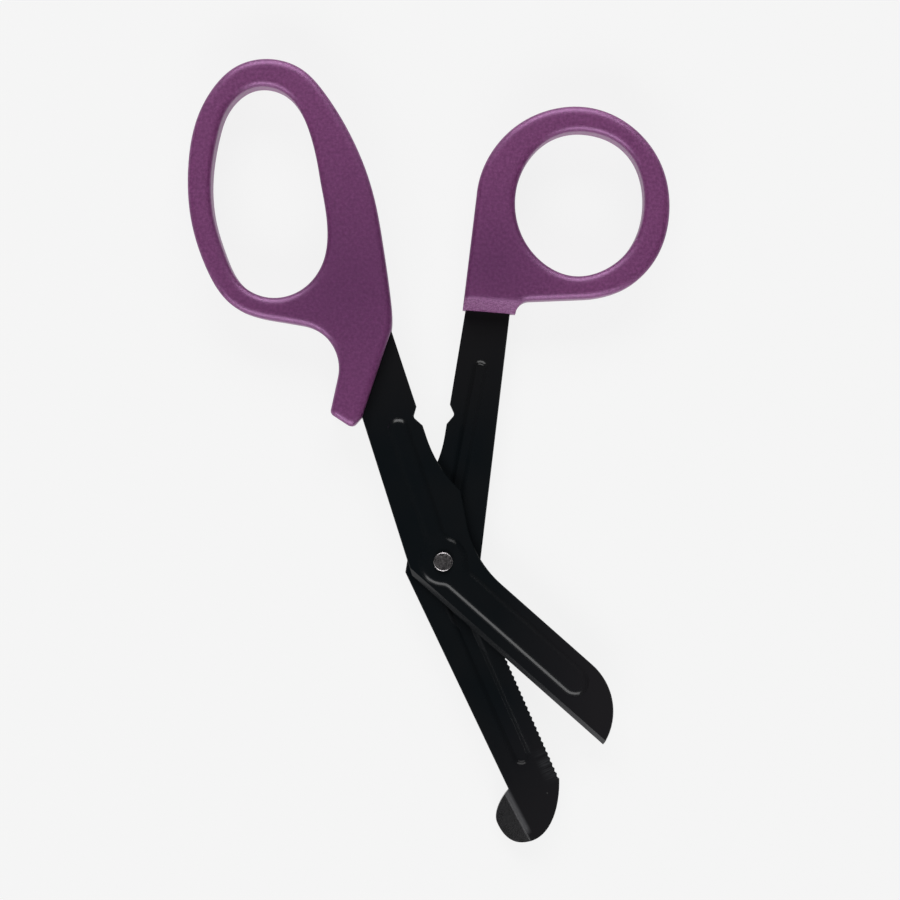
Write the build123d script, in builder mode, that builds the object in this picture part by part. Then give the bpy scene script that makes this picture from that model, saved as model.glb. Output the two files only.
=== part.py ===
from build123d import *
from math import radians, tan
import os

os.makedirs("parts", exist_ok=True)

# Bandage shears lying flat and part open: two stamped steel halves on one rivet, with moulded handles.
# +Z points up from the table, +Y towards the handles, and the origin is the middle of the footprint.
# Each half is drawn in its own frame at the rivet, whose +Y is the line where the closed handles meet.
# Each blade has a frame of its own inside that, with +X along its cutting edge towards the tip.
# Lengths are millimetres and angles are degrees.

# Place of the rivet, turn of the thumb half, and how far the halves stand open
PIVOT_X = 3.25
PIVOT_Y = -24.58
THUMB_TURN = -4.6
OPENING = 15.2

# Sheet, stack and handle thickness
SHEET = 1.6
SHEET_BREAK = 0.18
BLADE_GAP = 0.1
HANDLE_THICK = 10.0
HANDLE_ROUND = 1.2

# Rivet
RIVET_R = 1.75
RIVET_RUN = 0.05
RIVET_LIFT = 0.05
TAIL_R = 2.15
TAIL_HEIGHT = 0.65
HEAD_R = 3.2
HEAD_HEIGHT = 1.1
RIVET_ROUND = 0.25

# Raised rib that runs along each shank, round the rivet and along the blade
RIB_HEIGHT = 0.7
RIB_WALL = 52.0
RIB_BLEND = 2.5
RIB_CROWN = 2.2
RECESS_ROUND = 0.6
RECESS_MOUTH = 1.5
PAD_R = 5.65

# What both shanks share: wire notch, flare and shoulder beside the rivet, tang inside the handle
NOTCH_TOP = 35.3
NOTCH_MID = 33.1
NOTCH_END = 30.9
NOTCH_DEPTH = 1.4
NOTCH_ROUND = 0.8
FLARE_TOP = 28.0
SHOULDER_X = 6.8
SHOULDER_TOP = 14.9
SHANK_SEAT = 4.0
TANG_WIDTH = 6.2
TANG_HOLE_R = 1.6
TANG_HOLE_EDGE = 4.5

# Grinding of the edges
BEVEL_WIDTH = 1.05
EDGE_LAND = 0.25

# Plain blade: shank edges at rivet height and their lean, then the blade
PLAIN_OUT = 7.65
PLAIN_OUT_LEAN = 6.95
PLAIN_IN = 5.24
PLAIN_IN_LEAN = 7.66
PLAIN_BEND = 37.9
PLAIN_EDGE = 7.0
PLAIN_BACK = 4.85
PLAIN_LENGTH = 54.2
PLAIN_TIP = 13.7
PLAIN_ELBOW = 24.0
PLAIN_RIB_WIDTH = 6.5
PLAIN_RIB_STOP = 10.9
PLAIN_RIB_SIDE = 0.65
PLAIN_SHANK_RIB = 34.0
PLAIN_SHANK_RIB_WIDTH = 5.0
PLAIN_RIB_LEAN = 8.0
FINGER_TANG_IN = 6.9
FINGER_TANG_TOP = 70.0

# Serrated blade: shank edges at rivet height and their lean, then the blade, its teeth and its foot
SERRATED_OUT = 8.3
SERRATED_OUT_LEAN = -2.2
SERRATED_IN = 4.31
SERRATED_IN_LEAN = -4.82
SERRATED_BEND = 28.4
SERRATED_EDGE = 4.2
SERRATED_BACK = 8.75
SERRATED_TAPER = 1.65
SERRATED_LENGTH = 55.2
SERRATED_ELBOW = 8.0
SERRATED_RIB_WIDTH = 4.2
SERRATED_RIB_STOP = 6.0
SERRATED_RIB_SIDE = 1.55
SERRATED_SHANK_RIB = 46.0
SERRATED_SHANK_RIB_WIDTH = 3.4
SERRATED_CROWN_SHARE = 0.8
SERRATED_RIB_LEAN = -6.2
THUMB_TANG_IN = 5.5
THUMB_TANG_TOP = 75.0
TOOTH_PITCH = 1.25
TOOTH_DEPTH = 0.32
TOOTH_TIP = 0.03
TEETH_START = 10.0
FOOT_START = 52.8
FOOT_END = 65.6
FOOT_REACH = 12.72
FOOT_SOLE = 59.0
FOOT_NOSE = 6.5
FOOT_TOE_RUN = 64.5
FOOT_TOE_SIDE = 10.6
FOOT_BEND = 30.0
FOOT_BEND_R = 1.0
FOOT_TURN = 3.9
FOOT_SIDE_ANGLE = 64.0
FOOT_TIP_ANGLE = 158.0

# Finger handle: long hole, bars round it, finger rest and beak beside the shank
FINGER_HOLE_IN = 11.325
FINGER_HOLE_LOW = 65.3
FINGER_HOLE_W = 24.85
FINGER_HOLE_L = 46.9
FINGER_BAR = 5.2
FINGER_CROWN = 6.05
FINGER_MEET = 0.2
FINGER_FRONT_IN = 53.1
FINGER_FRONT_OUT = 35.2
REST_R = 9.8
REST_IN = 24.6
REST_UP = 48.7
REST_FROM = 69.0
REST_TO = -23.0
BEAK_LENGTH = 8.2
BEAK_WIDTH = 5.9
BEAK_CUT = -44.0
BEAK_ROUND = 1.3
FRONT_SPLAY = 20.0
FRONT_ROUND = 1.5

# Thumb handle: round ring and the neck that takes the shank
THUMB_HOLE_IN = 9.55
THUMB_HOLE_LOW = 66.125
THUMB_HOLE_W = 28.9
THUMB_HOLE_L = 32.35
THUMB_CROWN = 5.55
THUMB_BAR = 5.75
THUMB_FLOOR = 4.93
THUMB_MEET = 0.35
THUMB_FRONT = 56.7
THUMB_NECK = 11.7
NECK_TOP = 59.48
NECK_ROUND = 3.2
NECK_SPARE = 4.0
MOUTH_BEVEL = 2.6
MOUTH_BEVEL_DEPTH = 3.4

# Points round the two holes, as shares of the half width and half length from the middle
FINGER_HOLE_SHAPE = [
    (1.0, 0.05),
    (0.94, 0.57),
    (0.62, 0.91),
    (0.14, 1.0),
    (-0.464, 0.809),
    (-0.669, 0.613),
    (-0.923, 0.228),
    (-1.009, -0.182),
    (-0.942, -0.499),
    (-0.733, -0.833),
    (-0.293, -0.999),
    (0.302, -0.982),
    (0.8, -0.74),
]
THUMB_HOLE_SHAPE = [
    (0.0, 1.005),
    (-0.76, 0.678),
    (-1.0, 0.0),
    (-0.733, -0.654),
    (0.0, -1.0),
    (0.746, -0.666),
    (1.0, 0.0),
    (0.769, 0.687),
]

# Frames of the two halves and heights of the sheets
table = Plane((PIVOT_X, PIVOT_Y, 0))
thumb_frame = table.rotated((0, 0, THUMB_TURN))
finger_frame = table.rotated((0, 0, THUMB_TURN + OPENING))
plain_low = (HANDLE_THICK + BLADE_GAP) / 2
plain_high = plain_low + SHEET
serrated_high = (HANDLE_THICK - BLADE_GAP) / 2
serrated_low = serrated_high - SHEET
plain_frame = finger_frame.rotated((0, 0, PLAIN_BEND - 90))
serrated_frame = thumb_frame.rotated((0, 0, SERRATED_BEND - 90))


def in_half(bend, x, y):
    """A point of a blade's own frame, seen in the frame of its half."""
    return Vector(x, y).rotate(Axis.Z, bend - 90)


def leaning(x, lean):
    """The line that crosses rivet height at x and leans to the left by an angle."""
    return Axis((x, 0, 0), Vector(0, 1).rotate(Axis.Z, lean))


def along(bend, side, taper=0):
    """The line along a blade at a distance to the left of the rivet."""
    return Axis(in_half(bend, 0, side), Vector(1, 0).rotate(Axis.Z, bend - 90 + taper))


def at_height(line, y):
    """The point of a leaning line at a height above the rivet."""
    return line.position + line.direction * ((y - line.position.Y) / line.direction.Y)


def shank_inner_side(line, side):
    """Inner side of a shank from the handle to the shoulder: wire notch, straight and flare."""
    notch_top = at_height(line, NOTCH_TOP)
    notch_mid = at_height(line, NOTCH_MID) - Vector(side * NOTCH_DEPTH, 0)
    notch_end = at_height(line, NOTCH_END)
    flare_top = at_height(line, FLARE_TOP)
    FilletPolyline(notch_top, notch_mid, notch_end, radius=NOTCH_ROUND)
    Line(notch_end, flare_top)
    TangentArc(flare_top, (side * SHOULDER_X, SHOULDER_TOP), tangent=-line.direction)
    return notch_top


def rib_outline(shank_lean, shank_end, shank_width, bend, blade_side, blade_end, blade_width):
    """Outline of the rib: a slot up the shank, a round pad at the rivet and a slot down the blade."""
    shank_run = shank_end - shank_width / 2
    blade_run = blade_end - blade_width / 2
    shank_middle = Vector(0, shank_run / 2).rotate(Axis.Z, shank_lean)
    blade_middle = in_half(bend, blade_run / 2, -blade_side)
    Circle(PAD_R)
    with Locations(Location(shank_middle, (0, 0, 90 + shank_lean))):
        SlotCenterToCenter(shank_run, shank_width)
    with Locations(Location(blade_middle, (0, 0, bend - 90))):
        SlotCenterToCenter(blade_run, blade_width)
    offset(amount=RIB_BLEND)
    offset(amount=-RIB_BLEND)


def hole_points(x, y, width, length, shape):
    """The points of a hole's outline, placed from shares of its half sizes round its middle."""
    return [(x + across * width / 2, y + up * length / 2) for across, up in shape]


# Plain blade, the upper half's steel
plain_outer = leaning(-PLAIN_OUT, PLAIN_OUT_LEAN)
plain_inner = leaning(PLAIN_IN, PLAIN_IN_LEAN)
plain_edge = along(PLAIN_BEND, -PLAIN_EDGE)
plain_back = along(PLAIN_BEND, PLAIN_BACK)
plain_heel = plain_outer.intersect(plain_edge)
plain_elbow = plain_back.intersect(Axis((SHOULDER_X, 0, 0), (0, 1, 0)))
plain_rib_end = PLAIN_LENGTH - PLAIN_RIB_STOP
plain_rib = (
    PLAIN_RIB_LEAN,
    PLAIN_SHANK_RIB,
    PLAIN_SHANK_RIB_WIDTH,
    PLAIN_BEND,
    PLAIN_RIB_SIDE,
    plain_rib_end,
    PLAIN_RIB_WIDTH,
)
plain_tip = in_half(PLAIN_BEND, PLAIN_LENGTH, -PLAIN_EDGE)
plain_tip_start = in_half(PLAIN_BEND, PLAIN_LENGTH - PLAIN_TIP, PLAIN_BACK)

with BuildPart() as plain_blade:
    with BuildSketch(finger_frame.offset(plain_low)):
        with BuildLine():
            notch_top = shank_inner_side(plain_inner, 1)
            Line((SHOULDER_X, SHOULDER_TOP), plain_elbow)
            Line(plain_elbow, plain_tip_start)
            TangentArc(plain_tip_start, plain_tip, tangent=plain_back.direction)
            Polyline(
                plain_tip,
                plain_heel,
                at_height(plain_outer, FINGER_FRONT_OUT + SHANK_SEAT),
                (-FINGER_TANG_IN - TANG_WIDTH / 2, FINGER_FRONT_IN),
                (-FINGER_TANG_IN - TANG_WIDTH / 2, FINGER_TANG_TOP),
                (-FINGER_TANG_IN + TANG_WIDTH / 2, FINGER_TANG_TOP),
                (-FINGER_TANG_IN + TANG_WIDTH / 2, FINGER_FRONT_IN + 2 * SHANK_SEAT),
                at_height(plain_inner, FINGER_FRONT_IN + SHANK_SEAT),
                notch_top,
            )
        plan = make_face()
        fillet(plan.vertices().sort_by_distance(plain_elbow)[0], PLAIN_ELBOW)
        with Locations((-FINGER_TANG_IN, FINGER_TANG_TOP - TANG_HOLE_EDGE)):
            Circle(TANG_HOLE_R, mode=Mode.SUBTRACT)
    extrude(amount=SHEET)
    chamfer(plain_blade.edges().filter_by(Axis.Z, reverse=True), SHEET_BREAK)
    with BuildSketch(finger_frame.offset(plain_high)):
        rib_outline(*plain_rib)
    extrude(amount=RIB_HEIGHT, taper=RIB_WALL)
    fillet(plain_blade.faces().sort_by(Axis.Z)[-1].edges(), RIB_CROWN)
    with BuildSketch(finger_frame.offset(plain_low)):
        rib_outline(*plain_rib)
    extrude(amount=RIB_HEIGHT, taper=RIB_WALL, mode=Mode.SUBTRACT)
    recess_floor = plain_blade.faces().filter_by(Axis.Z).group_by(Axis.Z)[1]
    fillet(recess_floor.edges(), RECESS_ROUND)
    sheet_under = plain_blade.faces().filter_by(Axis.Z).sort_by(Axis.Z)[0]
    recess_mouth = sheet_under.inner_wires().sort_by(SortBy.LENGTH)[-1]
    fillet(recess_mouth.edges(), RECESS_MOUTH)
    with BuildSketch(finger_frame):
        Circle(RIVET_R + RIVET_RUN)
    extrude(amount=HANDLE_THICK, mode=Mode.SUBTRACT)
    with BuildSketch(Plane(plain_frame.origin, x_dir=-plain_frame.y_dir, z_dir=-plain_frame.x_dir)):
        with BuildLine():
            Polyline(
                (PLAIN_EDGE - BEVEL_WIDTH, plain_high),
                (PLAIN_EDGE, plain_low + EDGE_LAND),
                (PLAIN_EDGE, plain_high),
                close=True,
            )
        make_face()
    extrude(amount=PLAIN_LENGTH + PLAIN_EDGE, both=True, mode=Mode.SUBTRACT)
plain_blade.part.label = "plain_blade"
export_step(plain_blade.part, "parts/plain_blade.step")

# Serrated blade, the lower half's steel: sheet bent along the foot's crease, then trimmed to its outline
serrated_outer = leaning(SERRATED_OUT, SERRATED_OUT_LEAN)
serrated_inner = leaning(-SERRATED_IN, SERRATED_IN_LEAN)
serrated_edge = along(SERRATED_BEND, SERRATED_EDGE)
serrated_back = along(SERRATED_BEND, -SERRATED_BACK, SERRATED_TAPER)
serrated_elbow = serrated_outer.intersect(serrated_edge)
serrated_heel = serrated_back.intersect(Axis((-SERRATED_OUT, 0, 0), (0, 1, 0)))
foot_back = -SERRATED_BACK + FOOT_START * tan(radians(SERRATED_TAPER))
crease = serrated_frame.rotated((0, 0, FOOT_TURN))
crease_start = serrated_frame.offset(serrated_high).from_local_coords((FOOT_START, foot_back, 0))
stock = THUMB_TANG_TOP + FOOT_END
blade_run = in_half(SERRATED_BEND, 1, 0)
blade_left = in_half(SERRATED_BEND, 0, 1)
serrated_rib_end = SERRATED_LENGTH - SERRATED_RIB_STOP
rib_half_flat = SERRATED_SHANK_RIB_WIDTH / 2 - RIB_HEIGHT * tan(radians(RIB_WALL))
serrated_crown = SERRATED_CROWN_SHARE * rib_half_flat / tan(radians(90 - RIB_WALL) / 2)
serrated_rib = (
    SERRATED_RIB_LEAN,
    SERRATED_SHANK_RIB,
    SERRATED_SHANK_RIB_WIDTH,
    SERRATED_BEND,
    SERRATED_RIB_SIDE,
    serrated_rib_end,
    SERRATED_RIB_WIDTH,
)
edge_end = in_half(SERRATED_BEND, SERRATED_LENGTH, SERRATED_EDGE)
foot_corner = in_half(SERRATED_BEND, FOOT_START, foot_back)
foot_sole = in_half(SERRATED_BEND, FOOT_SOLE, -FOOT_REACH)
foot_toe = in_half(SERRATED_BEND, FOOT_TOE_RUN, -FOOT_TOE_SIDE)
foot_nose = in_half(SERRATED_BEND, FOOT_END, -FOOT_NOSE)
foot_side = blade_run.rotate(Axis.Z, -FOOT_SIDE_ANGLE)
foot_tip = blade_run.rotate(Axis.Z, FOOT_TIP_ANGLE)
bevel_start = serrated_frame.from_local_coords((TEETH_START, 0, 0))
tooth_count = int((SERRATED_LENGTH - TEETH_START) / TOOTH_PITCH)
tooth_line = [
    (SERRATED_LENGTH - i * TOOTH_PITCH / 2, SERRATED_EDGE - TOOTH_TIP - (i % 2) * TOOTH_DEPTH)
    for i in range(2 * tooth_count + 1)
]

with BuildPart() as serrated_blade:
    with BuildSketch(Plane(crease_start, x_dir=-crease.y_dir, z_dir=-crease.x_dir)):
        with BuildLine():
            Line((-stock, 0), (0, 0))
            bend = JernArc((0, 0), (1, 0), FOOT_BEND_R + SHEET, -FOOT_BEND)
            Line(bend @ 1, bend @ 1 + (bend % 1) * FOOT_REACH)
            offset(amount=SHEET, side=Side.RIGHT)
        make_face()
    extrude(amount=stock, both=True)
    with BuildSketch(thumb_frame.offset(-HANDLE_THICK)):
        with BuildLine():
            notch_top = shank_inner_side(serrated_inner, -1)
            Polyline((-SHOULDER_X, SHOULDER_TOP), serrated_heel, foot_corner)
            Spline(foot_corner, foot_sole, tangents=[foot_side, blade_run])
            Spline(foot_sole, foot_toe, foot_nose, tangents=[blade_run, blade_left])
            Spline(foot_nose, edge_end, tangents=[blade_left, foot_tip])
            Polyline(
                edge_end,
                serrated_elbow,
                at_height(serrated_outer, THUMB_FRONT + SHANK_SEAT),
                (THUMB_TANG_IN + TANG_WIDTH / 2, THUMB_FRONT + 2 * SHANK_SEAT),
                (THUMB_TANG_IN + TANG_WIDTH / 2, THUMB_TANG_TOP),
                (THUMB_TANG_IN - TANG_WIDTH / 2, THUMB_TANG_TOP),
                (THUMB_TANG_IN - TANG_WIDTH / 2, THUMB_FRONT + 2 * SHANK_SEAT),
                at_height(serrated_inner, THUMB_FRONT + SHANK_SEAT),
                notch_top,
            )
        plan = make_face()
        fillet(plan.vertices().sort_by_distance(serrated_elbow)[0], SERRATED_ELBOW)
        with Locations((THUMB_TANG_IN, THUMB_TANG_TOP - TANG_HOLE_EDGE)):
            Circle(TANG_HOLE_R, mode=Mode.SUBTRACT)
    extrude(amount=2 * HANDLE_THICK, mode=Mode.INTERSECT)
    walls = serrated_blade.faces().filter_by(lambda face: round(face.normal_at().Z, 3) == 0)
    sheet_rims = walls.edges().filter_by(Plane.XY).filter_by(GeomType.BSPLINE, reverse=True)
    chamfer(sheet_rims, SHEET_BREAK)
    with BuildSketch(thumb_frame.offset(serrated_low)):
        rib_outline(*serrated_rib)
    extrude(amount=RIB_HEIGHT, dir=(0, 0, -1), taper=RIB_WALL)
    fillet(serrated_blade.faces().filter_by(Axis.Z).sort_by(Axis.Z)[0].edges(), serrated_crown)
    with BuildSketch(thumb_frame.offset(serrated_high)):
        rib_outline(*serrated_rib)
    extrude(amount=RIB_HEIGHT, dir=(0, 0, -1), taper=RIB_WALL, mode=Mode.SUBTRACT)
    recess_floor = serrated_blade.faces().filter_by(Axis.Z).group_by(Axis.Z)[-2]
    fillet(recess_floor.edges(), RECESS_ROUND)
    sheet_top = serrated_blade.faces().filter_by(Axis.Z).sort_by(Axis.Z)[-1]
    recess_mouth = sheet_top.inner_wires().sort_by(SortBy.LENGTH)[-1]
    fillet(recess_mouth.edges(), RECESS_MOUTH)
    with BuildSketch(thumb_frame):
        Circle(RIVET_R)
    extrude(amount=HANDLE_THICK, mode=Mode.SUBTRACT)
    with BuildSketch(Plane(bevel_start, x_dir=serrated_frame.y_dir, z_dir=serrated_frame.x_dir)):
        with BuildLine():
            Polyline(
                (SERRATED_EDGE - BEVEL_WIDTH, serrated_low),
                (SERRATED_EDGE, serrated_high - EDGE_LAND),
                (SERRATED_EDGE, serrated_low),
                close=True,
            )
        make_face()
    extrude(amount=FOOT_END, mode=Mode.SUBTRACT)
    with BuildSketch(serrated_frame):
        with BuildLine():
            Polyline(
                *tooth_line,
                (tooth_line[-1][0], SERRATED_EDGE + TOOTH_DEPTH),
                (tooth_line[0][0], SERRATED_EDGE + TOOTH_DEPTH),
                close=True,
            )
        make_face()
    extrude(amount=HANDLE_THICK, mode=Mode.SUBTRACT)
serrated_blade.part.label = "serrated_blade"
export_step(serrated_blade.part, "parts/serrated_blade.step")

# Finger handle, moulded round the plain blade's tang
finger_x = -FINGER_HOLE_IN - FINGER_HOLE_W / 2
finger_y = FINGER_HOLE_LOW + FINGER_HOLE_L / 2
finger_left = FINGER_HOLE_W / 2 + FINGER_BAR
finger_right = -FINGER_MEET - finger_x
finger_top = FINGER_HOLE_L / 2 + FINGER_CROWN
rest_start = Vector(-REST_IN, REST_UP) + Vector(REST_R, 0).rotate(Axis.Z, REST_FROM)
rest_end = Vector(-REST_IN, REST_UP) + Vector(REST_R, 0).rotate(Axis.Z, REST_TO)
beak_tip = rest_end + Vector(0, -BEAK_LENGTH).rotate(Axis.Z, REST_TO)
beak_heel = beak_tip + Vector(BEAK_WIDTH, 0).rotate(Axis.Z, BEAK_CUT)
finger_hole = hole_points(finger_x, finger_y, FINGER_HOLE_W, FINGER_HOLE_L, FINGER_HOLE_SHAPE)
front_out = at_height(plain_outer, FINGER_FRONT_OUT)
front_in = at_height(plain_inner, FINGER_FRONT_IN)


def finger_point(across, up):
    """A point of the outer outline as shares of the half sizes round the middle of the finger hole."""
    half = finger_right if across > 0 else finger_left
    return (finger_x + across * half, finger_y + up * finger_top)


with BuildPart() as finger_handle:
    with BuildSketch(finger_frame):
        with BuildLine():
            Spline(
                front_in,
                finger_point(0.975, -0.98),
                finger_point(1.0, -0.55),
                finger_point(0.994, -0.12),
                finger_point(0.906, 0.26),
                finger_point(0.723, 0.652),
                finger_point(0.547, 0.865),
                finger_point(0.263, 0.985),
                finger_point(-0.077, 0.975),
                finger_point(-0.435, 0.836),
                finger_point(-0.679, 0.652),
                finger_point(-0.912, 0.294),
                finger_point(-1.0, -0.09),
                finger_point(-0.93, -0.47),
                finger_point(-0.75, -0.75),
                finger_point(-0.54, -0.875),
                finger_point(-0.268, -0.955),
                rest_start,
                tangents=[Vector(0, 1).rotate(Axis.Z, -FRONT_SPLAY), Vector(0, -1).rotate(Axis.Z, REST_FROM)],
            )
            ThreePointArc(rest_start, Vector(REST_R - REST_IN, REST_UP), rest_end)
            Polyline(rest_end, beak_tip, beak_heel, front_out, front_in)
        plan = make_face()
        for corner, radius in ((beak_tip, BEAK_ROUND), (beak_heel, BEAK_ROUND), (front_in, FRONT_ROUND)):
            plan = fillet(plan.vertices().sort_by_distance(corner)[0], radius)
        with BuildLine():
            Spline(*finger_hole, periodic=True)
        make_face(mode=Mode.SUBTRACT)
    extrude(amount=HANDLE_THICK)
    rims = finger_handle.faces().filter_by(Axis.Z).edges()
    fillet(rims, HANDLE_ROUND)
    add(plain_blade.part, mode=Mode.SUBTRACT)
finger_handle.part.label = "finger_handle"
export_step(finger_handle.part, "parts/finger_handle.step")

# Thumb handle, moulded round the serrated blade's tang
thumb_x = THUMB_HOLE_IN + THUMB_HOLE_W / 2
thumb_y = THUMB_HOLE_LOW + THUMB_HOLE_L / 2
thumb_left = thumb_x + THUMB_MEET
thumb_right = THUMB_HOLE_W / 2 + THUMB_BAR
thumb_top = THUMB_HOLE_L / 2 + THUMB_CROWN
thumb_low = THUMB_HOLE_L / 2 + THUMB_FLOOR
thumb_hole = hole_points(thumb_x, thumb_y, THUMB_HOLE_W, THUMB_HOLE_L, THUMB_HOLE_SHAPE)
neck_end = THUMB_FRONT - NECK_SPARE
neck_in = Vector(-THUMB_MEET, neck_end)
neck_out = Vector(THUMB_NECK, neck_end)
neck_corner = Vector(THUMB_NECK, NECK_TOP)


def thumb_point(across, up):
    """A point of the outer outline as shares of the half sizes round the middle of the thumb hole."""
    half = thumb_right if across > 0 else thumb_left
    height = thumb_top if up > 0 else thumb_low
    return Vector(thumb_x + across * half, thumb_y + up * height)


ring_start = thumb_point(0.1, -1.0)
ring_end = thumb_point(-0.95, 0.0)

with BuildPart() as thumb_handle:
    with BuildSketch(thumb_frame):
        with BuildLine():
            Polyline(neck_out, neck_corner, ring_start)
            Spline(
                ring_start,
                thumb_point(0.36, -0.947),
                thumb_point(0.609, -0.832),
                thumb_point(0.9, -0.497),
                thumb_point(1.0, -0.04),
                thumb_point(0.89, 0.431),
                thumb_point(0.59, 0.783),
                thumb_point(0.093, 0.99),
                thumb_point(-0.308, 0.954),
                thumb_point(-0.622, 0.764),
                thumb_point(-0.85, 0.446),
                ring_end,
            )
            Polyline(ring_end, neck_in, neck_out)
        plan = make_face()
        fillet(plan.vertices().sort_by_distance(neck_corner)[0], NECK_ROUND)
        with BuildLine():
            Spline(*thumb_hole, periodic=True)
        make_face(mode=Mode.SUBTRACT)
    extrude(amount=HANDLE_THICK)
    rims = thumb_handle.faces().filter_by(Axis.Z).edges()
    fillet(rims, HANDLE_ROUND)
    with BuildSketch(Plane(thumb_frame.origin, x_dir=thumb_frame.y_dir, z_dir=thumb_frame.x_dir)):
        with BuildLine():
            Polyline(
                (THUMB_FRONT, 0),
                (THUMB_FRONT, HANDLE_THICK - MOUTH_BEVEL_DEPTH),
                (THUMB_FRONT + MOUTH_BEVEL, HANDLE_THICK),
                (neck_end, HANDLE_THICK),
                (neck_end, 0),
                close=True,
            )
        make_face()
    extrude(amount=THUMB_HOLE_W, both=True, mode=Mode.SUBTRACT)
    add(serrated_blade.part, mode=Mode.SUBTRACT)
thumb_handle.part.label = "thumb_handle"
export_step(thumb_handle.part, "parts/thumb_handle.step")

# Rivet: a low round head below, and its end peened over the upper blade
pad_high = plain_high + RIB_HEIGHT + RIVET_LIFT
pad_low = serrated_low - RIB_HEIGHT

with BuildPart() as pivot_rivet:
    with BuildSketch(table.offset(pad_low - HEAD_HEIGHT)):
        Circle(HEAD_R)
    extrude(amount=HEAD_HEIGHT)
    with BuildSketch(table.offset(pad_low)):
        Circle(RIVET_R)
    extrude(amount=pad_high - pad_low)
    with BuildSketch(table.offset(pad_high)):
        Circle(TAIL_R)
    extrude(amount=TAIL_HEIGHT)
    fillet(pivot_rivet.edges().group_by(Axis.Z)[-1], RIVET_ROUND)
    fillet(pivot_rivet.edges().group_by(Axis.Z)[0], RIVET_ROUND)
pivot_rivet.part.label = "pivot_rivet"
export_step(pivot_rivet.part, "parts/pivot_rivet.step")
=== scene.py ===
import math

import bpy
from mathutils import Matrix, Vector

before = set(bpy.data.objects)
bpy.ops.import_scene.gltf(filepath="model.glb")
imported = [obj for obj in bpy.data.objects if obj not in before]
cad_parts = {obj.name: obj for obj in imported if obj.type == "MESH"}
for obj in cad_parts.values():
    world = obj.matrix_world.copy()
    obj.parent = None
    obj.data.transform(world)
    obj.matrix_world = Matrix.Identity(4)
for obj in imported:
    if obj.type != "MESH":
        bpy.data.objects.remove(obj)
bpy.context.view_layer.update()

# Bandage shears seen straight from above, on a pale table between two soft boxes.
# Lengths are metres, angles are degrees in plan, and colours are linear red, green, blue and alpha.
# A noise is (scale, detail, roughness), specks are (scale, size, share), a bump is (strength, depth),
# a band is (from, to, softness), and a range is (from, to) or (from, to, result from, result to).

# Camera: the point under the middle of the picture, height of the lens and width of the view at mid height
VIEW_X = 0.00478
VIEW_Y = 0.00049
VIEW_MID = 0.005
VIEW_DISTANCE = 0.7
VIEW_WIDTH = 0.2025
SENSOR = 36.0
CLIP_START = 0.01

# Rivet, and the turns of the thumb half, the two blades and the plain shank
RIVET = (0.00325, -0.02458, 0.0)
THUMB_TURN = -4.6
SERRATED_TURN = -66.2
PLAIN_TURN = -41.5
SHANK_TURN = 10.6

# Handles: purple plastic with its mottle, specks and grain
PLASTIC_LOW = (0.106, 0.018, 0.086, 1)
PLASTIC_HIGH = (0.122, 0.024, 0.098, 1)
PLASTIC_TONE = (60.0, 2.0, 0.5)
PLASTIC_TONE_RANGE = (0.3, 0.7)
MOTTLE_COLOUR = (0.24, 0.066, 0.20, 1)
MOTTLE_NOISE = (1500.0, 3.0, 0.65)
MOTTLE_RANGE = (0.38, 0.72, 0.0, 0.8)
PLASTIC_SPECK_COLOUR = (0.34, 0.2, 0.33, 1)
PLASTIC_SPECKS = (260.0, 0.045, 0.12)
PLASTIC_GRAIN = (2600.0, 2.0, 0.6)
PLASTIC_ROUGHNESS = (0.3, 0.7, 0.38, 0.5)
PLASTIC_BUMP = (0.1, 0.0001)
PLASTIC_IOR = 1.7
PLASTIC_SHEEN = (1.0, 0.56, 1.0, 1)
GLOW_WEIGHT = 0.3
GLOW_COLOUR = (1.0, 0.55, 0.9)
GLOW_DEPTH = 0.002
RIM_SOFTNESS = 0.0020
RIM_SAMPLES = 8

# Handles: painted shade on the wide stems, which look darker than the rings as less light passes into them
# through their walls
STEM_SHADE_COLOUR = (0.037, 0.0, 0.038, 1)
STEM_SHADE_SHARE = 0.45
FINGER_STEM = (-0.0175, 0.038, 0.010)
FINGER_STEM_RANGE = (0.004, 0.036)
THUMB_STEM = (0.015, 0.041, 0.010)
THUMB_STEM_RANGE = (0.002, 0.022)

# Handles: frosted bevel at the thumb handle's mouth, rougher, with a painted highlight in its grain where it
# faces the front soft box
FROST_HIGHLIGHT_COLOUR = (0.285, 0.128, 0.26, 1)
FROST_SLOPE = (0.4, 0.8, 0.08)
FROST_ACROSS = (-0.002, 0.03, 0.0005)
FROST_UP = (0.0565, 0.0594, 0.0003)
FROST_HIGHLIGHT_GRAIN = (0.4, 0.62, 0.1, 1.0)
FROST_ROUGHNESS = 0.25

# Blades: black coat, lighter towards the foot and the tip, and with painted light on the shanks towards the
# handles, against the handles' shade
COAT_LOW = (0.0036, 0.0054, 0.0068, 1)
COAT_HIGH = (0.0056, 0.0067, 0.0077, 1)
COAT_TONE = (60.0, 3.0, 0.5)
COAT_TONE_RANGE = (0.35, 0.65)
SHANK_LIGHT_COLOUR = (0.0098, 0.0092, 0.0100, 1)
SHANK_LIGHT_RANGE = (0.022, 0.058)
FOOT_COLOUR = (0.0105, 0.0102, 0.0114, 1)
FOOT_RANGE = (0.03, 0.06)
TIP_COLOUR = (0.0128, 0.0120, 0.0136, 1)
TIP_RANGE = (0.012, 0.034)
COAT_SPECK_COLOUR = (0.05, 0.05, 0.05, 1)
COAT_SPECKS = (190.0, 0.03, 0.1)
COAT_GRAIN = (3500.0, 2.0, 0.6)
COAT_ROUGHNESS = (0.3, 0.7, 0.19, 0.23)
COAT_BUMP = (0.02, 0.0001)

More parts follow.
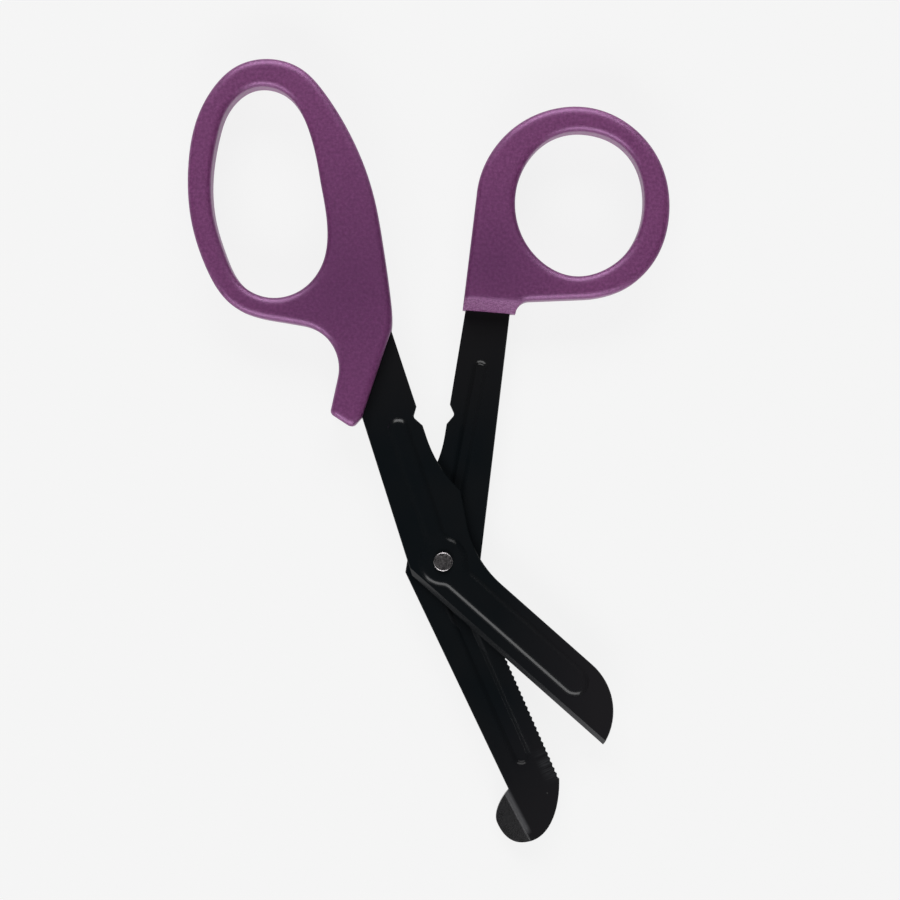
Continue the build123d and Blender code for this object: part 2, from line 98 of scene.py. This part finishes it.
# Blades: scratches across the serrated blade, beside its last teeth
SCRATCH_COLOUR = (0.026, 0.027, 0.029, 1)
SCRATCH_RUN = (0.0485, 0.0545, 0.0015)
SCRATCH_SIDE = (0.0014, 0.0050, 0.0008)
SCRATCH_SQUEEZE = 24.0
SCRATCH_NOISE = (180.0, 2.0, 0.5)
SCRATCH_RANGE = (0.42, 0.62)

# Blades: painted reflection of the pale table on the ground edge of the plain blade, which starts faint and
# grows towards the tip
EDGE_REFLECTION_COLOUR = (0.040, 0.040, 0.043, 1)
EDGE_SLOPE = (0.2, 0.98, 0.005)
EDGE_SIDE = (0.0054, 0.009, 0.0001)
EDGE_REFLECTION_RAMP = (0.0, 1.0, 0.12, 1.0)

# Blades: foot of the serrated blade, with mottled painted shade past its crease, where it tilts away from
# the light, and a painted highlight along the crease
CREASE = (0.017943, -0.075807, 0.0)
CREASE_TURN = -62.3
FOOT_SHADE_COLOUR = (0.0010, 0.0010, 0.0012, 1)
FOOT_SHADE_START = (0.0012, 0.0022)
FOOT_SHADE_NOISE = (700.0, 2.0, 0.5)
FOOT_SHADE_RANGE = (0.35, 0.65, 0.5, 0.0)
CREASE_HIGHLIGHT_COLOUR = (0.085, 0.085, 0.090, 1)
CREASE_HIGHLIGHT_SIDE = (0.0002, 0.0010, 0.0005)
CREASE_HIGHLIGHT_RUN = (-0.001, 0.0105, 0.0008)

# Blades: gloss, with less at the pad's top and the recess's end, and none on the plain shank's shoulder edge
GLOSS_RANGE = (0.0, 1.0, 0.26, 0.0)
PAD_TOP = (0.0053, -0.0200, 0.0068)
RECESS_END = (0.0208, -0.0698, 0.0045)
DULL_RANGE = (0.0018, 0.003)
DULL_SHARE = 0.6
SHOULDER_SIDE = (0.0035, 0.0100, 0.0002)
SHOULDER_RUN = (0.001, 0.030, 0.001)
SHOULDER_SLOPE = 0.97

# Rivet
STEEL_LOW = (0.34, 0.32, 0.33, 1)
STEEL_HIGH = (0.62, 0.59, 0.60, 1)
STEEL_DENTS = (2200.0, 3.0, 0.6)
STEEL_ROUGHNESS = (0.3, 0.7, 0.22, 0.36)
STEEL_BUMP = (0.35, 0.0002)

# Table: half its width, its drop below the part, and the share of its own shading that is hidden from view
FLOOR_HALF = 3.0
FLOOR_DROP = 0.0001
FLOOR_COLOUR = (0.918, 0.918, 0.918, 1)
FLOOR_CLEAN = 0.93

# Light: what the soft boxes share, and the world, which is brighter near the horizon
BOX_ELEVATION = 36.0
BOX_DISTANCE = 2.0
BOX_HEIGHT = 0.9
WORLD_COLOUR = (1.0, 1.0, 1.0, 1)
WORLD_RANGE = (0.1, 0.5, 0.08, 0.02)

scene = bpy.context.scene
scene.view_settings.view_transform = "Standard"


def new_material(name):
    """An empty node material with its Principled shader wired to the output."""
    material = bpy.data.materials.new(name)
    material.use_nodes = True
    tree = material.node_tree
    tree.nodes.clear()
    output = tree.nodes.new("ShaderNodeOutputMaterial")
    shader = tree.nodes.new("ShaderNodeBsdfPrincipled")
    tree.links.new(shader.outputs["BSDF"], output.inputs["Surface"])
    return material, tree, shader


def feed(tree, node, inputs):
    """Sets a node's inputs: each is a value or the output socket that feeds it."""
    for key, value in inputs.items():
        if isinstance(value, bpy.types.NodeSocket):
            tree.links.new(value, node.inputs[key])
        else:
            node.inputs[key].default_value = value


def add(tree, kind, inputs=None, **settings):
    """A new node with its settings and inputs."""
    node = tree.nodes.new(kind)
    for key, value in settings.items():
        setattr(node, key, value)
    feed(tree, node, inputs or {})
    return node


def noise(tree, place, scale, detail, roughness):
    """Noise of a given size, as a value from 0 to 1."""
    node = add(
        tree,
        "ShaderNodeTexNoise",
        {"Vector": place, "Scale": scale, "Detail": detail, "Roughness": roughness},
    )
    return node.outputs["Fac"]


def remap(tree, value, low, high, to_low=0.0, to_high=1.0):
    """A value taken from one range to another, and held inside it."""
    node = add(
        tree,
        "ShaderNodeMapRange",
        {"Value": value, "From Min": low, "From Max": high, "To Min": to_low, "To Max": to_high},
    )
    return node.outputs["Result"]


def combine(tree, operation, first, *others):
    """Values joined one after another by the same arithmetic step."""
    for value in others:
        first = add(tree, "ShaderNodeMath", {0: first, 1: value}, operation=operation).outputs[0]
    return first


def mix(tree, share, first, second):
    """Two colours mixed by a share."""
    return add(tree, "ShaderNodeMix", {0: share, 6: first, 7: second}, data_type="RGBA").outputs[2]


def bump(tree, height, strength, depth, **normal):
    """The normal of a surface roughened by a height, on top of another normal where one is given."""
    inputs = {"Height": height, "Strength": strength, "Distance": depth, **normal}
    return add(tree, "ShaderNodeBump", inputs).outputs["Normal"]


def specks(tree, place, scale, size, share):
    """Sparse round specks: 1 inside a speck and 0 elsewhere."""
    cells = add(tree, "ShaderNodeTexVoronoi", {"Vector": place, "Scale": scale})
    draw = add(tree, "ShaderNodeSeparateColor", {0: cells.outputs["Color"]}).outputs[0]
    inside = combine(tree, "LESS_THAN", cells.outputs["Distance"], size)
    return combine(tree, "MULTIPLY", inside, combine(tree, "LESS_THAN", draw, share))


def reach(tree, place, start, angle):
    """How far a point lies past a start, along a direction in plan."""
    from_start = add(tree, "ShaderNodeVectorMath", {0: place, 1: start}, operation="SUBTRACT").outputs[0]
    heading = (math.cos(math.radians(angle)), math.sin(math.radians(angle)), 0.0)
    along = add(tree, "ShaderNodeVectorMath", {0: from_start, 1: heading}, operation="DOT_PRODUCT")
    return along.outputs["Value"]


def band(tree, value, low, high, soft):
    """1 where a value lies between two bounds, with soft ends."""
    rise = remap(tree, value, low - soft, low + soft)
    fall = remap(tree, value, high - soft, high + soft, 1.0, 0.0)
    return combine(tree, "MULTIPLY", rise, fall)


def nearness(tree, place, point, inner, outer):
    """1 within an inner radius of a point, falling to 0 at an outer one."""
    gap = add(tree, "ShaderNodeVectorMath", {0: place, 1: point}, operation="DISTANCE").outputs["Value"]
    return remap(tree, gap, inner, outer, 1.0, 0.0)


def place_and_slope(tree):
    """A point's place on its own piece, and the upward part of its normal."""
    spot = add(tree, "ShaderNodeTexCoord")
    slope = add(tree, "ShaderNodeSeparateXYZ", {0: spot.outputs["Normal"]}).outputs["Z"]
    return spot.outputs["Object"], slope


def plastic_colour(tree, place):
    """The handles' purple, mottled and specked, with painted shade on the wide stems."""
    tone = noise(tree, place, *PLASTIC_TONE)
    mottle = noise(tree, place, *MOTTLE_NOISE)
    base = mix(tree, remap(tree, tone, *PLASTIC_TONE_RANGE), PLASTIC_LOW, PLASTIC_HIGH)
    base = mix(tree, remap(tree, mottle, *MOTTLE_RANGE), base, MOTTLE_COLOUR)
    base = mix(tree, specks(tree, place, *PLASTIC_SPECKS), base, PLASTIC_SPECK_COLOUR)
    # Painted shade: the wide stems are darkened, as less light passes into them through their walls.
    finger_stem_shade = nearness(tree, place, FINGER_STEM, *FINGER_STEM_RANGE)
    thumb_stem_shade = nearness(tree, place, THUMB_STEM, *THUMB_STEM_RANGE)
    stem_shade = combine(tree, "MAXIMUM", finger_stem_shade, thumb_stem_shade)
    return mix(tree, combine(tree, "MULTIPLY", stem_shade, STEM_SHADE_SHARE), base, STEM_SHADE_COLOUR)


def handle_plastic():
    """Purple moulded plastic, slightly translucent, with a fine grain, soft rims and a frosted mouth that
    carries a painted highlight.
    """
    material, tree, shader = new_material("handle_plastic")
    place, slope = place_and_slope(tree)
    grain = noise(tree, place, *PLASTIC_GRAIN)
    frosted = combine(
        tree,
        "MULTIPLY",
        band(tree, slope, *FROST_SLOPE),
        band(tree, reach(tree, place, RIVET, THUMB_TURN), *FROST_ACROSS),
        band(tree, reach(tree, place, RIVET, THUMB_TURN + 90.0), *FROST_UP),
    )
    # Painted highlight: the frosted mouth is lightened in its grain, as it faces the front soft box.
    frost_highlight = combine(tree, "MULTIPLY", frosted, remap(tree, grain, *FROST_HIGHLIGHT_GRAIN))
    frost_roughness = combine(tree, "MULTIPLY", frosted, FROST_ROUGHNESS)
    rim = add(tree, "ShaderNodeBevel", {"Radius": RIM_SOFTNESS}, samples=RIM_SAMPLES)
    feed(
        tree,
        shader,
        {
            "Base Color": mix(tree, frost_highlight, plastic_colour(tree, place), FROST_HIGHLIGHT_COLOUR),
            "Roughness": combine(tree, "ADD", remap(tree, grain, *PLASTIC_ROUGHNESS), frost_roughness),
            "IOR": PLASTIC_IOR,
            "Specular IOR Level": 1.0,
            "Specular Tint": PLASTIC_SHEEN,
            "Subsurface Weight": GLOW_WEIGHT,
            "Subsurface Radius": GLOW_COLOUR,
            "Subsurface Scale": GLOW_DEPTH,
            "Normal": bump(tree, grain, *PLASTIC_BUMP, Normal=rim.outputs["Normal"]),
        },
    )
    return material


def coat_colour(tree, place, slope):
    """The blades' black, lighter in places, with specks and scratches, and with painted light near the
    handles, a painted reflection on the ground edge, and painted shade and a painted highlight on the foot.
    """
    # Painted light: the shanks are lightened towards the handles, against the shade that the handles cast.
    shank = remap(tree, reach(tree, place, RIVET, 90.0), *SHANK_LIGHT_RANGE)
    foot = remap(tree, reach(tree, place, RIVET, -90.0), *FOOT_RANGE)
    tip = remap(tree, reach(tree, place, RIVET, 0.0), *TIP_RANGE)
    tone = noise(tree, place, *COAT_TONE)
    base = mix(tree, remap(tree, tone, *COAT_TONE_RANGE), COAT_LOW, COAT_HIGH)
    base = mix(tree, shank, base, SHANK_LIGHT_COLOUR)
    base = mix(tree, foot, base, FOOT_COLOUR)
    base = mix(tree, tip, base, TIP_COLOUR)
    base = mix(tree, specks(tree, place, *COAT_SPECKS), base, COAT_SPECK_COLOUR)

    run = reach(tree, place, RIVET, SERRATED_TURN)
    side = reach(tree, place, RIVET, SERRATED_TURN + 90.0)
    squeezed_run = combine(tree, "MULTIPLY", run, SCRATCH_SQUEEZE)
    squeezed = add(tree, "ShaderNodeCombineXYZ", {"X": squeezed_run, "Y": side}).outputs[0]
    scratched = combine(
        tree,
        "MULTIPLY",
        band(tree, run, *SCRATCH_RUN),
        band(tree, side, *SCRATCH_SIDE),
        remap(tree, noise(tree, squeezed, *SCRATCH_NOISE), *SCRATCH_RANGE),
    )
    base = mix(tree, scratched, base, SCRATCH_COLOUR)

    # Painted reflection: the plain blade's ground edge is lightened as if it mirrored the pale table, more
    # towards the tip.
    edge = combine(
        tree,
        "MULTIPLY",
        band(tree, slope, *EDGE_SLOPE),
        band(tree, reach(tree, place, RIVET, PLAIN_TURN - 90.0), *EDGE_SIDE),
        remap(tree, tip, *EDGE_REFLECTION_RAMP),
    )
    base = mix(tree, edge, base, EDGE_REFLECTION_COLOUR)

    past_crease = reach(tree, place, CREASE, CREASE_TURN - 90.0)
    # Painted shade: the foot past its crease, tilted away from the light, is darkened in a mottle.
    foot_shade = combine(
        tree,
        "MULTIPLY",
        foot,
        remap(tree, past_crease, *FOOT_SHADE_START),
        remap(tree, noise(tree, place, *FOOT_SHADE_NOISE), *FOOT_SHADE_RANGE),
    )
    base = mix(tree, foot_shade, base, FOOT_SHADE_COLOUR)
    # Painted highlight along the foot's crease, where the bend catches the light.
    crease_highlight = combine(
        tree,
        "MULTIPLY",
        band(tree, past_crease, *CREASE_HIGHLIGHT_SIDE),
        band(tree, reach(tree, place, CREASE, CREASE_TURN), *CREASE_HIGHLIGHT_RUN),
    )
    return mix(tree, crease_highlight, base, CREASE_HIGHLIGHT_COLOUR)


def coat_gloss(tree, place, slope):
    """The gloss of the blades' coat, with its dull places."""
    pad_top = nearness(tree, place, PAD_TOP, *DULL_RANGE)
    recess_end = nearness(tree, place, RECESS_END, *DULL_RANGE)
    dull = combine(tree, "MULTIPLY", combine(tree, "MAXIMUM", pad_top, recess_end), DULL_SHARE)
    shoulder = combine(
        tree,
        "MULTIPLY",
        band(tree, reach(tree, place, RIVET, SHANK_TURN), *SHOULDER_SIDE),
        combine(tree, "LESS_THAN", slope, SHOULDER_SLOPE),
        band(tree, reach(tree, place, RIVET, SHANK_TURN + 90.0), *SHOULDER_RUN),
    )
    return remap(tree, combine(tree, "MAXIMUM", dull, shoulder), *GLOSS_RANGE)


def blade_black():
    """Black non-stick coat on stamped steel."""
    material, tree, shader = new_material("blade_black")
    place, slope = place_and_slope(tree)
    grain = noise(tree, place, *COAT_GRAIN)
    feed(
        tree,
        shader,
        {
            "Base Color": coat_colour(tree, place, slope),
            "Roughness": remap(tree, grain, *COAT_ROUGHNESS),
            "Specular IOR Level": coat_gloss(tree, place, slope),
            "Normal": bump(tree, grain, *COAT_BUMP),
        },
    )
    return material


def rivet_steel():
    """Grey steel with the hammered face of a peened rivet."""
    material, tree, shader = new_material("rivet_steel")
    place = add(tree, "ShaderNodeTexCoord").outputs["Object"]
    dents = noise(tree, place, *STEEL_DENTS)
    feed(
        tree,
        shader,
        {
            "Base Color": mix(tree, dents, STEEL_LOW, STEEL_HIGH),
            "Metallic": 1.0,
            "Roughness": remap(tree, dents, *STEEL_ROUGHNESS),
            "Normal": bump(tree, dents, *STEEL_BUMP),
        },
    )
    return material


def floor_paper():
    """Pale paper that the camera and mirrors see clean, but for a little of the object's shadow."""
    material, tree, shader = new_material("floor_paper")
    feed(tree, shader, {"Base Color": FLOOR_COLOUR, "Roughness": 0.9, "Specular IOR Level": 0.1})
    ray = add(tree, "ShaderNodeLightPath").outputs
    seen = combine(tree, "MAXIMUM", ray["Is Camera Ray"], ray["Is Glossy Ray"], ray["Is Transmission Ray"])
    share = combine(tree, "MULTIPLY", seen, FLOOR_CLEAN)
    clean = add(tree, "ShaderNodeEmission", {"Color": FLOOR_COLOUR, "Strength": 1.0})
    blend = add(tree, "ShaderNodeMixShader", {0: share, 1: shader.outputs[0], 2: clean.outputs[0]})
    tree.links.new(blend.outputs[0], tree.nodes["Material Output"].inputs["Surface"])
    return material


def dress(node, material):
    """Gives a CAD node its finished material."""
    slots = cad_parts[node].data.materials
    slots.clear()
    slots.append(material)


def soft_box(name, azimuth, width, watts):
    """A soft box that looks at the middle of the object from an azimuth."""
    light = bpy.data.lights.new(name, "AREA")
    light.shape = "RECTANGLE"
    light.size = width
    light.size_y = BOX_HEIGHT
    light.energy = watts
    lamp = bpy.data.objects.new(name, light)
    across = math.cos(math.radians(BOX_ELEVATION))
    towards = Vector(
        (
            across * math.cos(math.radians(azimuth)),
            across * math.sin(math.radians(azimuth)),
            math.sin(math.radians(BOX_ELEVATION)),
        )
    )
    lamp.location = towards * BOX_DISTANCE
    lamp.rotation_euler = towards.to_track_quat("Z", "Y").to_euler()
    scene.collection.objects.link(lamp)


# Object
purple = handle_plastic()
black = blade_black()
steel = rivet_steel()
dress("finger_handle", purple)
dress("thumb_handle", purple)
dress("plain_blade", black)
dress("serrated_blade", black)
dress("pivot_rivet", steel)

# Table
corners = [(-1, -1), (1, -1), (1, 1), (-1, 1)]
floor_mesh = bpy.data.meshes.new("floor")
floor_mesh.from_pydata([(x * FLOOR_HALF, y * FLOOR_HALF, 0) for x, y in corners], [], [(0, 1, 2, 3)])
floor_mesh.materials.append(floor_paper())
floor = bpy.data.objects.new("floor", floor_mesh)
floor.location.z = -FLOOR_DROP
scene.collection.objects.link(floor)

# Light
soft_box("soft_box_front", azimuth=258.0, width=2.4, watts=38.0)
soft_box("soft_box_back", azimuth=90.0, width=2.0, watts=36.0)
world = bpy.data.worlds.new("studio")
scene.world = world
world.use_nodes = True
sky = world.node_tree
direction = add(sky, "ShaderNodeTexCoord").outputs["Generated"]
height = add(sky, "ShaderNodeSeparateXYZ", {0: direction}).outputs["Z"]
level = remap(sky, height, *WORLD_RANGE)
feed(sky, sky.nodes["Background"], {"Color": WORLD_COLOUR, "Strength": level})

# Camera
camera_data = bpy.data.cameras.new("camera")
camera_data.sensor_width = SENSOR
camera_data.lens = SENSOR * VIEW_DISTANCE / VIEW_WIDTH
camera_data.clip_start = CLIP_START
camera = bpy.data.objects.new("camera", camera_data)
camera.location = (VIEW_X, VIEW_Y, VIEW_MID + VIEW_DISTANCE)
scene.collection.objects.link(camera)
scene.camera = camera
